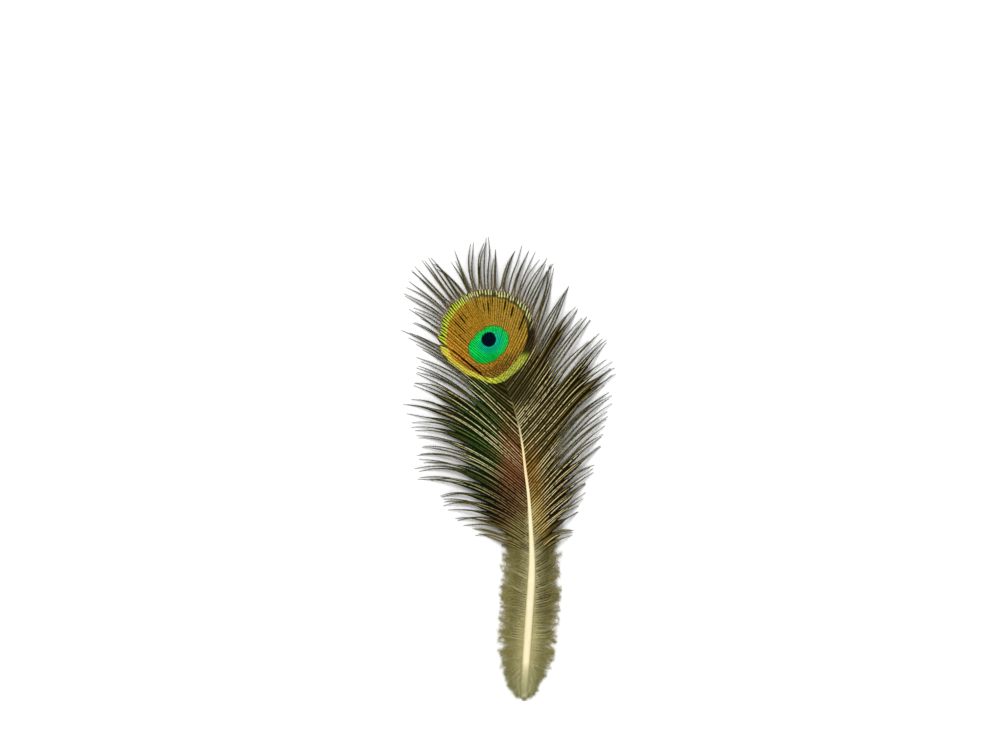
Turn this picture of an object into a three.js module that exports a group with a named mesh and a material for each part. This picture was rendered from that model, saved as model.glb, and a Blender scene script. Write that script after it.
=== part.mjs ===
// A short peacock eye feather, lying face up. Millimetres, +Z up, +Y towards its tip.
// It grew as one piece, so it is one solid: a shaft with locks growing out of both its sides and
// its tip. A lock is a bunch of barbs. Locks hang together near the shaft and are free at their ends.

import * as THREE from "three";

// The shaft, from the cut end of the quill to its last point inside the eye. It bows sideways in x,
// and lift is its underside's height: the quill lies flat on the table, and the rest is arched.
const SHAFT = {
  y: [-74.8, -71.6, -63, -52, -36, -28, -20, -8, 1, 8.5, 16.6, 24.4, 33, 42.6, 50.7],
  x: [6.2, 6.3, 6.8, 7.5, 8.5, 8.7, 8.4, 7.6, 6.5, 5.6, 4.1, 1.6, -1.6, -5.2, -8.1],
  lift: [0, 0, 0, 0.9, 2.9, 3.9, 4.7, 5.5, 5.8, 5.8, 5.5, 5.0, 4.35, 3.5, 2.75],
  width: [1.0, 2.0, 2.1, 2.1, 2.05, 1.8, 1.4, 1.15, 1.05, 0.88, 0.74, 0.64, 0.54, 0.44, 0.36],
};
const HEIGHT_OF_WIDTH = 0.92;
const QUILL_STATIONS = [-74.8, -73.4, -72.2]; // the bare end, below the first lock

// The shaft's eight-cornered section, across and up, in widths and heights from its middle.
// It runs from the upper left over the top and back under a flat underside.
const SECTION = [
  [0.5, 0.2],
  [0.24, 0.5],
  [-0.24, 0.5],
  [-0.5, 0.2],
  [-0.5, -0.2],
  [-0.24, -0.5],
  [0.24, -0.5],
  [0.5, -0.2],
];
const [LEFT_ABOVE, LEFT_BELOW, RIGHT_ABOVE, RIGHT_BELOW] = [0, 7, 3, 4]; // where the vanes grow out
const [OVER, UNDER] = [1, 5]; // the first corner of its top and of its underside

// The barbs of each vane, at stations along the shaft. Angles are degrees away from the shaft:
// where a barb leaves it, along the straight line to the barb's tip, and at the tip.
const BARBS_FROM = [-71, -62, -50, -38, -28, -20, -9, 2, 15, 24, 28, 33, 38.5, 43, 47, 50.7];
const LEFT = {
  turn: 1,
  leave: [60, 75, 82, 78, 68, 56, 43, 40, 33, 35, 38, 35, 29, 22, 14, 3],
  reach: [70, 80, 84, 80, 74, 66, 55, 46, 37.5, 32.5, 31, 27.5, 22.5, 16.5, 9.5, 2.5],
  tip: [85, 88, 86, 84, 80, 76, 74, 60, 46, 35, 30, 25, 19, 14, 7.5, 2],
  length: [5, 8.5, 9.5, 9.8, 12, 19, 35, 41, 41, 41, 41, 39.5, 37, 33, 28, 23.5],
};
const RIGHT = {
  turn: -1,
  leave: [60, 75, 82, 76, 68, 58, 48, 49, 53, 54, 52, 48, 39, 28.5, 15, 3],
  reach: [70, 80, 84, 80, 74, 64, 54, 50, 52, 51, 47, 42, 33.5, 23.5, 12, 2.5],
  tip: [85, 88, 86, 84, 80, 74, 66, 58, 57, 54, 49, 43, 33, 23, 12, 2],
  length: [5, 8, 9, 9.5, 12, 20, 36, 42, 40.5, 39.5, 39, 37.5, 34.5, 30.5, 26.5, 23.5],
};
const BARB_HANDLE = 0.36; // how far a barb keeps its first and last heading, of its length
const BARB_SAG = 0.62; // height of the barb's outer handle, of its height at the shaft
const TABLE_GAP = 0.04; // the tips and the lowest locks just clear the table

// The locks between two stations: how many, the part of their length that hangs together,
// how much their lengths vary, and their thickness in the middle and between two locks.
const ZONES = [
  { from: -71, to: -28, locks: 10, together: 0.4, vary: 0.1, middle: 1.5, between: 0.8 },
  { from: -28, to: -2, locks: 7, together: 0.46, vary: 0.08, middle: 0.7, between: 0.35 },
  { from: -2, to: 24, locks: 7, together: 0.58, vary: 0.06, middle: 0.6, between: 0.3 },
  { from: 24, to: 50.7, locks: 10, together: 0.72, vary: 0.05, middle: 0.5, between: 0.28 },
];
const TIP_ZONE = ZONES.at(-1);
const LEVELS = [0, 0.1, 0.22, 0.34, 0.46, 0.58, 0.72, 0.86, 1]; // rows of points along each lock
const LOCK_TAPER = 1.3; // how late a free lock narrows to its point

/** Reads a smooth curve through values at rising stations. */
function along(stations, values, at) {
  const last = stations.length - 1;
  const above = stations.findIndex((station) => station > at);
  const i = above < 0 ? last - 1 : Math.max(above - 1, 0);
  const slope = (k) => {
    const [a, b] = [Math.max(k - 1, 0), Math.min(k + 1, last)];
    return (values[b] - values[a]) / (stations[b] - stations[a]);
  };
  const step = stations[i + 1] - stations[i];
  const t = (at - stations[i]) / step;
  const ease = t * t * (3 - 2 * t);
  const bend = step * t * (1 - t) * ((1 - t) * slope(i) - t * slope(i + 1));
  return values[i] * (1 - ease) + values[i + 1] * ease + bend;
}

/** The shaft at y: its middle, its width, its heading in the table's plane and the way to its left. */
function shaftAt(y) {
  const x = (at) => along(SHAFT.y, SHAFT.x, at);
  const reach = 0.5;
  const heading = Math.atan2(2 * reach, x(y + reach) - x(y - reach));
  const width = along(SHAFT.y, SHAFT.width, y);
  const lift = Math.max(0, along(SHAFT.y, SHAFT.lift, y));
  return {
    middle: new THREE.Vector3(x(y), y, lift + (width * HEIGHT_OF_WIDTH) / 2),
    width,
    heading,
    left: new THREE.Vector3(-Math.sin(heading), Math.cos(heading), 0),
  };
}

/** The point at t, from 0 at the shaft to 1 at the tip, of the barb that leaves the shaft at y. */
function barb(vane, y, t, stretch = 1) {
  const { middle, width, heading, left } = shaftAt(y);
  const length = along(BARBS_FROM, vane.length, y) * stretch;
  const handle = length * BARB_HANDLE;
  const towards = (angles, distance) => {
    const angle = heading + vane.turn * THREE.MathUtils.degToRad(along(BARBS_FROM, angles, y));
    return new THREE.Vector3(Math.cos(angle), Math.sin(angle), 0).multiplyScalar(distance);
  };
  const root = middle.clone().addScaledVector(left, (vane.turn * width) / 2);
  const tip = root.clone().add(towards(vane.reach, length)).setZ(TABLE_GAP);
  const outer = tip.clone().sub(towards(vane.tip, handle)).setZ(root.z * BARB_SAG);
  const inner = root.clone().add(towards(vane.leave, handle));
  return new THREE.CubicBezierCurve3(root, inner, outer, tip).getPoint(t);
}

/** A number from 0 to 1 that looks random and is always the same for k: each lock is its own. */
const chance = (k) => (Math.abs(Math.sin(k * 12.9898 + 4.1)) * 43758.5453) % 1;

const points = [];
const triangles = [];

/** Adds a point, raised by lift, and gives its number. */
const add = (point, lift = 0) => points.push(point.x, point.y, point.z + lift) / 3 - 1;

/** Adds a point above and one below, no lower than the table allows. */
function addPair(point, half) {
  const raised = point.clone().setZ(Math.max(point.z, half + TABLE_GAP));
  return [add(raised, half), add(raised, -half)];
}

/** Adds a face whose corners run anticlockwise from outside. Corners that meet make it a triangle. */
function face(a, b, c, d) {
  for (const [p, q, r] of [[a, b, c], [a, c, d]]) {
    if (p !== q && q !== r && r !== p) triangles.push(p, q, r);
  }
}

/** Adds the shaft's corners at y, and gives them in SECTION's order. */
function shaftRing(y) {
  const { middle, width, left } = shaftAt(y);
  const corner = ([across, up]) =>
    add(middle.clone().addScaledVector(left, across * width), up * width * HEIGHT_OF_WIDTH);
  if (y < BARBS_FROM.at(-1)) return SECTION.map(corner);
  // In the last ring the top and the underside close to one corner each.
  const [over, under] = [corner([0, 0.5]), corner([0, -0.5])];
  const closed = { [OVER]: over, [OVER + 1]: over, [UNDER]: under, [UNDER + 1]: under };
  return SECTION.map((place, k) => closed[k] ?? corner(place));
}

/** Joins the rings. Past the bare quill the strips along both sides are left to the vanes. */
function buildShaft(rings, bareRings) {
  rings.slice(1).forEach((ring, k) => {
    const before = rings[k];
    for (let i = 0; i < SECTION.length; i++) {
      const next = (i + 1) % SECTION.length;
      const grows = k >= bareRings && (i === RIGHT_ABOVE || i === LEFT_BELOW);
      if (!grows) face(before[i], before[next], ring[next], ring[i]);
    }
  });
  const [first, ...others] = rings[0];
  others.slice(1).forEach((corner, k) => face(first, corner, others[k], others[k]));
}

/** Fills in a line between two locks: pairs of points, above and below, up to where the locks part. */
function buildEdge(edge, k, outer) {
  const shift = Math.round(chance(k) * 2) - 1;
  edge.parting = outer ? 1 : LEVELS.findIndex((t) => t >= edge.zone.together) + shift;
  const half = edge.zone.between / 2;
  const grown = LEVELS.slice(1, edge.parting).map((t) => addPair(edge.at(t), half));
  edge.rail = [edge.roots, ...grown];
  edge.crotch = add(edge.at(LEVELS[edge.parting]));
}

/** Builds one lock between its two edges: a thick middle line, thin sides and a point. */
function buildLock(lock, k, edges) {
  const grown = 1 + lock.zone.vary * (2 * chance(k + 0.5) - 1);
  const parted = LEVELS[Math.max(...edges.map((edge) => edge.parting))];
  const stretch = (t) => 1 + (grown - 1) * Math.max(0, (t - parted) / (1 - parted));
  const middle = (t) => lock.at(t, stretch(t));
  const tip = add(middle(1));
  const ridge = LEVELS.map((t, i) => {
    if (i === 0) return lock.roots;
    if (t === 1) return [tip, tip];
    return addPair(middle(t), (lock.zone.middle * (1 - t ** 4)) / 2);
  });
  edges.forEach((edge, side) => {
    const first = LEVELS[edge.parting];
    const rail = LEVELS.map((t, i) => {
      if (i < edge.parting) return edge.rail[i];
      if (i === edge.parting) return [edge.crotch, edge.crotch];
      if (t === 1) return [tip, tip];
      const closing = ((t - first) / (1 - first)) ** LOCK_TAPER;
      const point = add(edge.at(t).lerp(middle(t), closing));
      return [point, point];
    });
    const [near, far] = side === 0 ? [rail, ridge] : [ridge, rail];
    for (let i = 0; i + 1 < LEVELS.length; i++) {
      face(near[i][0], far[i][0], far[i + 1][0], near[i + 1][0]);
      face(far[i][1], near[i][1], near[i + 1][1], far[i + 1][1]);
    }
  });
}

/** The whole feather as one closed mesh. */
function featherGeometry() {
  // A lock has a ring of the shaft where it starts, one at its middle and one where it ends.
  const lockStations = ZONES.flatMap(({ from, to, locks }) =>
    Array.from({ length: 2 * locks }, (_, k) => from + ((to - from) * k) / (2 * locks)),
  );
  lockStations.push(BARBS_FROM.at(-1));
  const rings = [...QUILL_STATIONS, ...lockStations].map(shaftRing);
  buildShaft(rings, QUILL_STATIONS.length);

  // The lines of the comb in turn: an edge, a lock's middle, an edge, up the left vane,
  // round the tip and down the right vane.
  const lineAt = (vane, k) => {
    const y = lockStations[k];
    const ring = rings[QUILL_STATIONS.length + k];
    const sides = vane === LEFT ? [LEFT_ABOVE, LEFT_BELOW] : [RIGHT_ABOVE, RIGHT_BELOW];
    return {
      zone: ZONES.find(({ to }) => y < to) ?? TIP_ZONE,
      roots: sides.map((corner) => ring[corner]),
      at: (t, stretch) => barb(vane, y, t, stretch),
    };
  };
  const order = lockStations.map((_, k) => k);
  const last = rings.at(-1);
  const end = BARBS_FROM.at(-1);
  const tipLine = {
    zone: TIP_ZONE,
    roots: [last[OVER], last[UNDER]],
    at: (t, stretch) => barb(LEFT, end, t, stretch).lerp(barb(RIGHT, end, t, stretch), 0.5),
  };
  const lines = [
    ...order.map((k) => lineAt(LEFT, k)),
    tipLine,
    ...order.toReversed().map((k) => lineAt(RIGHT, k)),
  ];
  const edges = lines.filter((_, k) => k % 2 === 0);
  const locks = lines.filter((_, k) => k % 2 === 1);
  edges.forEach((edge, k) => buildEdge(edge, k, k === 0 || k === edges.length - 1));
  locks.forEach((lock, k) => buildLock(lock, k, [edges[k], edges[k + 1]]));

  // The comb's two outer edges are closed beside the shaft.
  const [firstEdge, lastEdge] = [edges[0], edges.at(-1)];
  face(firstEdge.roots[0], firstEdge.crotch, firstEdge.roots[1], firstEdge.roots[1]);
  face(lastEdge.roots[1], lastEdge.crotch, lastEdge.roots[0], lastEdge.roots[0]);

  const geometry = new THREE.BufferGeometry();
  geometry.setAttribute("position", new THREE.Float32BufferAttribute(points, 3));
  geometry.setIndex(triangles);
  return geometry;
}

// The origin is the middle of the feather's outline, on the table.
const featherShape = featherGeometry();
featherShape.computeBoundingBox();
const box = featherShape.boundingBox;
const centre = box.getCenter(new THREE.Vector3());
featherShape.translate(-centre.x, -centre.y, -box.min.z);
featherShape.computeVertexNormals();

const bronzeGreen = new THREE.MeshStandardMaterial({ color: "#5b5326", roughness: 0.6, metalness: 0 });
const feather = new THREE.Mesh(featherShape, bronzeGreen);
feather.name = "feather";

const model = new THREE.Group();
model.add(feather);

export default model;
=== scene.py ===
"""A short peacock eye feather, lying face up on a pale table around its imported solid.

The feather grew as one piece. Its sections follow it from the quill to the eye's outermost barbs.
Sizes are millimetres on the feather's own plan, with x to its right, y towards its tip and z up.
"""

import math

import bmesh
import bpy
import numpy as np
from mathutils import Matrix


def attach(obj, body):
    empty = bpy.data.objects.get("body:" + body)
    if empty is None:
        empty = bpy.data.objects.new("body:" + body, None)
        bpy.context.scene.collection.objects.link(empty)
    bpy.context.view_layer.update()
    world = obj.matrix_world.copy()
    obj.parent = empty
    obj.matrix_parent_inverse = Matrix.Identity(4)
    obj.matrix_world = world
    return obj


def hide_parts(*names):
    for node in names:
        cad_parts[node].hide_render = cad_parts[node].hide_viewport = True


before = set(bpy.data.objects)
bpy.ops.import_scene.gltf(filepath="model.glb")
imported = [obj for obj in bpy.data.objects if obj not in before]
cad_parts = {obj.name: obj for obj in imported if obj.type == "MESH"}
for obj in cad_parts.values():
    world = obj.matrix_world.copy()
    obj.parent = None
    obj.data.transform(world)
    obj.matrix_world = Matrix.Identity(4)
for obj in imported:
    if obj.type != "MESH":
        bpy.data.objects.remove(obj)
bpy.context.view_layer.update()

# The shaft: a tapering horn rod. The quill is bare, hollow and cut off at a slant. Above it the
# shaft arches off the table, bows sideways and thins to a dark thread inside the eye.
SHAFT_Y = [-74.8, -71.6, -63, -52, -36, -28, -20, -8, 1, 8.5, 16.6, 24.4, 33, 42.6, 50.7]
SHAFT_X = [6.2, 6.3, 6.8, 7.5, 8.5, 8.7, 8.4, 7.6, 6.5, 5.6, 4.1, 1.6, -1.6, -5.2, -8.1]
SHAFT_LIFT = [0, 0, 0, 0.9, 2.9, 3.9, 4.7, 5.5, 5.8, 5.8, 5.5, 5.0, 4.35, 3.5, 2.75]
SHAFT_WIDTH = [1.2, 2.4, 2.5, 2.6, 2.5, 2.0, 1.5, 1.0, 0.88, 0.72, 0.64, 0.58, 0.52, 0.44, 0.36]
HEIGHT_OF_WIDTH = 0.92
QUILL_END, SHAFT_END = SHAFT_Y[0], SHAFT_Y[-1]
SHAFT_SIDES = 20
SHAFT_RINGS = 98
CUT_BACK, CUT_RISE = 2.6, 1.4  # the cut runs back by the first over a height of the second
FLAT_BELOW = -0.46  # the underside's lowest line, in shares of the shaft's height
QUILL_WALL = 0.22
BORE_DEPTH = 4.5

# The plan's place in the row frame, from the solid's quill end.
solid = np.array([v.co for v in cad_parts["feather"].data.vertices]) * 1000
quill_ring = solid[solid[:, 1] < solid[:, 1].min() + 0.5]
PLAN_SHIFT = (quill_ring.min(0) + quill_ring.max(0)) / 2 - [SHAFT_X[0], QUILL_END, 0]
PLAN_SHIFT[2] = 0


def to_frame(points):
    """Plan millimetres to metres in the row frame."""
    return (points + PLAN_SHIFT) / 1000


def smooth(low, high, at):
    """Rises from 0 at low to 1 at high."""
    t = np.clip((at - low) / (high - low), 0, 1)
    return t * t * (3 - 2 * t)


def along(stations, values, at):
    """Reads a smooth curve through values at rising stations."""
    s, v = np.array(stations, float), np.array(values, float)
    i = np.clip(np.searchsorted(s, at, side="right") - 1, 0, len(s) - 2)
    rise = np.concatenate([[v[1] - v[0]], v[2:] - v[:-2], [v[-1] - v[-2]]])
    slope = rise / np.concatenate([[s[1] - s[0]], s[2:] - s[:-2], [s[-1] - s[-2]]])
    step = s[i + 1] - s[i]
    t = (at - s[i]) / step
    ease = t * t * (3 - 2 * t)
    bend = step * t * (1 - t) * ((1 - t) * slope[i] - t * slope[i + 1])
    return v[i] * (1 - ease) + v[i + 1] * ease + bend


def stack(*parts):
    """Arrays of different shapes side by side, as vectors."""
    return np.stack(np.broadcast_arrays(*parts), -1)


def shaft_at(y):
    """The shaft's middle, width, heading on the plan and the way to its left, for an array of y."""
    x, reach = along(SHAFT_Y, SHAFT_X, y), 0.5
    ahead, behind = along(SHAFT_Y, SHAFT_X, y + reach), along(SHAFT_Y, SHAFT_X, y - reach)
    heading = np.arctan2(2 * reach, ahead - behind)
    width = along(SHAFT_Y, SHAFT_WIDTH, y)
    lift = np.maximum(0, along(SHAFT_Y, SHAFT_LIFT, y))
    middle = stack(x, y, lift + width * HEIGHT_OF_WIDTH / 2)
    left = stack(-np.sin(heading), np.cos(heading), 0)
    return middle, width, heading, left


def rgb(red, green, blue):
    """A colour from 0 to 255 a channel, as a shader takes it."""
    return tuple(
        c / 12.92 if c <= 0.04045 else ((c + 0.055) / 1.055) ** 2.4
        for c in (red / 255, green / 255, blue / 255)
    ) + (1,)


class Channel:
    """One output of a shader node. Python's operators on it add Math nodes."""

    def __init__(self, finish, socket):
        self.finish, self.socket = finish, socket

    def math(self, operation, *values):
        sockets = dict(enumerate(values))
        return self.finish.node("Math", {"operation": operation}, sockets)

    def __add__(self, other):
        return self.math("ADD", self, other)

    def __sub__(self, other):
        return self.math("SUBTRACT", self, other)

    def __rsub__(self, other):
        return self.math("SUBTRACT", other, self)

    def __mul__(self, other):
        return self.math("MULTIPLY", self, other)

    def __truediv__(self, other):
        return self.math("DIVIDE", self, other)

    def __abs__(self):
        return self.math("ABSOLUTE", self)

    def fract(self):
        return self.math("FRACT", self)

    __radd__, __rmul__ = __add__, __mul__

    def rise(self, low, high):
        """0 below low, 1 above high, smooth between them. It falls where low is the higher."""
        falls = low > high
        ends = {1: min(low, high), 2: max(low, high), 3: float(falls), 4: float(not falls)}
        return self.finish.node("MapRange", {"interpolation_type": "SMOOTHSTEP"}, {0: self, **ends})

    def part(self, name):
        """Another output of the same node."""
        return Channel(self.finish, self.socket.node.outputs[name])


class Finish:
    """A material in the making: node() adds a shader node and gives its output."""

    def __init__(self, name):
        self.material = bpy.data.materials.new(name)
        self.material.use_nodes = True
        self.tree = self.material.node_tree
        self.tree.nodes.clear()

    def node(self, kind, settings=None, sockets=None, output=0):
        made = self.tree.nodes.new("ShaderNode" + kind)
        for name, value in (settings or {}).items():
            if name == "stops":
                stops = made.color_ramp.elements
                while len(stops) < len(value):
                    stops.new(1)
                for stop, (place, colour) in zip(stops, value):
                    stop.position, stop.color = place, colour
            else:
                setattr(made, name, value)
        for key, value in (sockets or {}).items():
            if isinstance(value, Channel):
                self.tree.links.new(value.socket, made.inputs[key])
            else:
                made.inputs[key].default_value = value
        return Channel(self, made.outputs[output])

    def mix(self, first, second, share):
        """Colour first where share is 0, second where it is 1."""
        return self.node("Mix", {"data_type": "RGBA"}, {0: share, 6: first, 7: second}, 2)

    def coats(self, colour, *coats):
        """A colour under coats of others, each of which covers it by its share."""
        for shade, share in coats:
            colour = self.mix(colour, shade, share)
        return colour

    def noise(self, where, scale, detail=2.0):
        sockets = {"Vector": where, "Scale": scale, "Detail": detail}
        return self.node("TexNoise", None, sockets)

    def surface(self, colour, roughness, height, depth, **fixed):
        """Ends the material in one Principled shader with a bump, and gives the material."""
        normal = self.node("Bump", None, {"Height": height, "Distance": depth, "Strength": 1.0})
        sockets = {"Base Color": colour, "Roughness": roughness, "Normal": normal}
        sockets.update({name.replace("_", " "): value for name, value in fixed.items()})
        shader = self.node("BsdfPrincipled", None, sockets)
        end = self.tree.nodes.new("ShaderNodeOutputMaterial")
        self.tree.links.new(shader.socket, end.inputs["Surface"])
        return self.material


def plan_of(finish):
    """The place on the plan in millimetres, to the right and towards the tip."""
    place = finish.node("SeparateXYZ", None, {0: finish.node("TexCoord", None, None, "Object")})
    return [place.part(axis) * 1000 - float(shift) for axis, shift in zip("XY", PLAN_SHIFT)]


def stand_for_feather(piece, material):
    """Gives a piece its finish, and lets it ride and stand for the solid with the others."""
    piece.data.materials.clear()
    piece.data.materials.append(material)
    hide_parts("feather")
    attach(piece, "root")


bpy.ops.object.select_all(action="DESELECT")
bpy.ops.mesh.primitive_cylinder_add(
    vertices=SHAFT_SIDES, radius=0.5, depth=1, rotation=(math.radians(-90), 0, 0)
)
shaft = bpy.context.object
shaft.name = shaft.data.name = "shaft"
bpy.ops.object.transform_apply(rotation=True)
bpy.ops.object.mode_set(mode="EDIT")
bpy.ops.mesh.select_all(action="DESELECT")
rod = bmesh.from_edit_mesh(shaft.data)
for edge in rod.edges:
    lower, upper = (v.co.y for v in edge.verts)
    edge.select_set(abs(upper - lower) > 0.5)
bmesh.update_edit_mesh(shaft.data)
bpy.ops.mesh.subdivide(number_cuts=SHAFT_RINGS)
bpy.ops.object.mode_set(mode="OBJECT")

# The straight rod takes the shaft's route. Its top is fuller than its underside, which is flat.
rod = np.array([v.co for v in shaft.data.vertices])
station = QUILL_END + (rod[:, 1] + 0.5) * (SHAFT_END - QUILL_END)
middle, width, heading, left = shaft_at(station)
up = np.where(rod[:, 2] > 0, rod[:, 2], np.maximum(rod[:, 2] * 1.15, FLAT_BELOW))
route = middle - left * (rod[:, 0] * width)[:, None]
route[:, 2] += up * width * HEIGHT_OF_WIDTH
shaft.data.vertices.foreach_set("co", route.ravel())
shaft.data.update()

# The slanting cut, and the bore that it opens.
bpy.ops.object.mode_set(mode="EDIT")
bpy.ops.mesh.select_all(action="SELECT")
bpy.ops.mesh.bisect(
    plane_co=(SHAFT_X[0], QUILL_END, 0),
    plane_no=(0, -1, CUT_BACK / CUT_RISE),
    use_fill=True,
    clear_outer=True,
    threshold=0.0001,
)
bpy.ops.mesh.inset(thickness=QUILL_WALL, depth=0)
bpy.ops.mesh.extrude_region_move(TRANSFORM_OT_translate={"value": (0.15, BORE_DEPTH, 0)})
bpy.ops.mesh.select_all(action="DESELECT")
bpy.ops.object.mode_set(mode="OBJECT")
shaft.data.transform(Matrix.Scale(0.001, 4) @ Matrix.Translation(PLAN_SHIFT))
bpy.ops.object.shade_smooth_by_angle(angle=math.radians(40))

# The duller side ivory is a tone along the shaft, and also painted shade on the shaft's sides.
IVORY, IVORY_LIGHT = rgb(245, 234, 190), rgb(255, 250, 224)
IVORY_TONE_AND_SIDE_SHADE = rgb(205, 195, 146)
QUILL_GREY = rgb(150, 146, 100)
QUILL_TIP, QUILL_PALE = rgb(172, 164, 122), rgb(172, 168, 122)
STEM_TAN = rgb(252, 220, 162)
STEM_PALE = rgb(232, 222, 166)
STEM_GREEN = rgb(134, 130, 84)
THREAD_BROWN = rgb(92, 84, 36)
EYE_BRONZE, EYE_GREEN, EYE_NIGHT = rgb(130, 88, 22), rgb(8, 160, 66), rgb(4, 16, 30)
horn = Finish("shaft horn")
plan = horn.node("TexCoord", None, None, "Object")
_, height_up = plan_of(horn)
length_share = (height_up - QUILL_END) / (SHAFT_END - QUILL_END)
ALONG_SHAFT = [(0.0, QUILL_TIP), (0.025, QUILL_GREY), (0.06, QUILL_PALE), (0.085, IVORY_TONE_AND_SIDE_SHADE)]
ALONG_SHAFT += [(0.105, IVORY), (0.52, IVORY), (0.62, STEM_TAN), (0.67, STEM_PALE)]
ALONG_SHAFT += [(0.72, STEM_GREEN), (0.76, THREAD_BROWN), (0.84, EYE_BRONZE), (0.874, EYE_BRONZE)]
ALONG_SHAFT += [(0.88, EYE_GREEN), (0.912, EYE_GREEN), (0.918, EYE_NIGHT), (0.955, EYE_NIGHT)]
ALONG_SHAFT += [(0.958, EYE_GREEN), (0.966, EYE_GREEN), (0.97, EYE_BRONZE)]
horn_colour = horn.node("ValToRGB", {"stops": ALONG_SHAFT}, {0: length_share})
# Painted shade: where the shaft's surface turns away from straight up, its sides are darkened.
facing_up = horn.node("SeparateXYZ", None, {0: horn.node("TexCoord", None, None, "Normal")})
side_shade = facing_up.part("Z").rise(0.75, 0.1)
drawn_out = horn.node("Mapping", None, {"Vector": plan, "Scale": (6000, 350, 6000)})
fibres = horn.noise(drawn_out, 1.0, 3.0)
clouds = horn.noise(plan, 320, 2.0)
horn_colour = horn.coats(
    horn_colour,
    (IVORY_TONE_AND_SIDE_SHADE, side_shade * length_share.rise(0.7, 0.55) * 0.75),
    (QUILL_GREY, fibres.rise(0.55, 0.8) * 0.3),
    (IVORY_LIGHT, clouds.rise(0.5, 0.75) * 0.35),
)
horn_material = horn.surface(horn_colour, 0.34 + 0.2 * fibres, fibres, depth=0.00003, IOR=1.54)
stand_for_feather(shaft, horn_material)

# The barbs: fine flat branches that leave both sides of the shaft and curve outwards. Each is a
# rib with a web of barbules along both its sides. They grow in locks, and part beyond the webs.
BARBS_FROM = [-71, -67, -62, -56, -50, -38, -28, -20, -9, 2, 15, 24, 28, 33, 36.4, 39.2]
BARBS_FROM += [41.7, 44]
LEFT_VANE = {
    "leave": [125, 105, 90, 84, 80, 66, 53, 48, 43, 40, 34, 35, 38, 33, 24, 16, 8.5, 2],
    "reach": [150, 125, 104, 92, 84, 74, 70, 68, 61, 51, 40, 33, 31, 27.5, 21.2, 14.2, 7.2, 1.7],
    "tip": [160, 135, 112, 98, 88, 84, 90, 98, 90, 74, 53, 37, 30, 25, 19, 13.5, 6.8, 1.8],
    "length": [3.4, 6, 8, 9, 9.5, 11, 20, 32, 41, 44, 43, 41.5, 41, 39.5, 39.1, 36.9, 33.6, 30.6],
}
RIGHT_VANE = {
    "leave": [125, 108, 92, 84, 79, 66, 54, 50, 47, 49, 53, 56, 57, 50, 38, 26, 12.5, 2.4],
    "reach": [150, 128, 106, 92, 84, 71, 60, 56, 52, 50, 52, 50, 45, 39, 30.6, 21, 10.6, 2.1],
    "tip": [160, 138, 114, 98, 88, 78, 70, 68, 64, 58, 56, 46, 34, 28, 23, 15, 8.5, 1.8],
    "length": [3.2, 5.8, 7.8, 8.8, 9.2, 10.2, 14, 22, 36]
    + [42, 40.5, 39.5, 39, 37.5, 36.4, 34.2, 32, 30.6],
}
BARBS_END = BARBS_FROM[-1]
BARB_HANDLE = 0.36
BARB_SAG = 0.62
ROOT_CROSSING = 0.22
CROSSING_FROM = 14
TABLE_GAP = 0.04
CLEARANCE = 0.12
UNEVEN = 0.15  # how far a barb may stand from its even place in the row, in pitches
LOCK_ZONES = [(-71, -28, 10, 0.4, 0.1), (-28, -2, 7, 0.52, 0.08)]
LOCK_ZONES += [(-2, 24, 7, 0.64, 0.06), (24, BARBS_END, 11, 0.72, 0.06)]
LOCK_LEVELS = np.array([0, 0.1, 0.22, 0.34, 0.46, 0.58, 0.72, 0.86, 1])
LOCK_TAPER = 1.3
LOCK_PULL = 0.4
EYE_FROM = 24.0
VANE_FROM = -28.0
VANE_PITCH = 0.8
EYE_PITCH = 0.86
LEVELS = 44

rng = np.random.default_rng(11)


def barb_paths(side, y, t, stretch=1.0):
    """Points of the barbs that leave the shaft at y, at shares t of their length. side is 1 for
    the left vane and -1 for the right one."""
    middle, width, heading, left = shaft_at(y)

    def vane(table):
        columns = [along(BARBS_FROM, v[table], y) for v in (LEFT_VANE, RIGHT_VANE)]
        return np.where(side > 0, *columns)

    def towards(table, distance):
        angle = heading + side * np.radians(vane(table))
        return stack(np.cos(angle), np.sin(angle), 0) * distance[:, None]

    length = vane("length") * stretch
    handle = length * BARB_HANDLE
    # Past the middle of the feather the roots lie over the shaft and cross, and hide it.
    over = smooth(CROSSING_FROM, EYE_FROM, y)
    away = width * 0.1 * (1 - over) - ROOT_CROSSING * over
    root = middle + left * (np.clip(side, -1, 1) * away)[:, None]
    root[:, 2] += over * (width * HEIGHT_OF_WIDTH / 2 + CLEARANCE)
    tip = root + towards("reach", length)
    tip[:, 2] = TABLE_GAP
    outer = tip - towards("tip", handle)
    outer[:, 2] = root[:, 2] * BARB_SAG
    inner = root + towards("leave", handle)
    t = t[None, :, None]
    near = (1 - t) ** 3 * root[:, None] + 3 * (1 - t) ** 2 * t * inner[:, None]
    return near + 3 * (1 - t) * t**2 * outer[:, None] + t**3 * tip[:, None]


def chance(k):
    """A number from 0 to 1 that looks random and is always the same for k."""
    return np.abs(np.sin(k * 12.9898 + 4.1)) * 43758.5453 % 1


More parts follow.
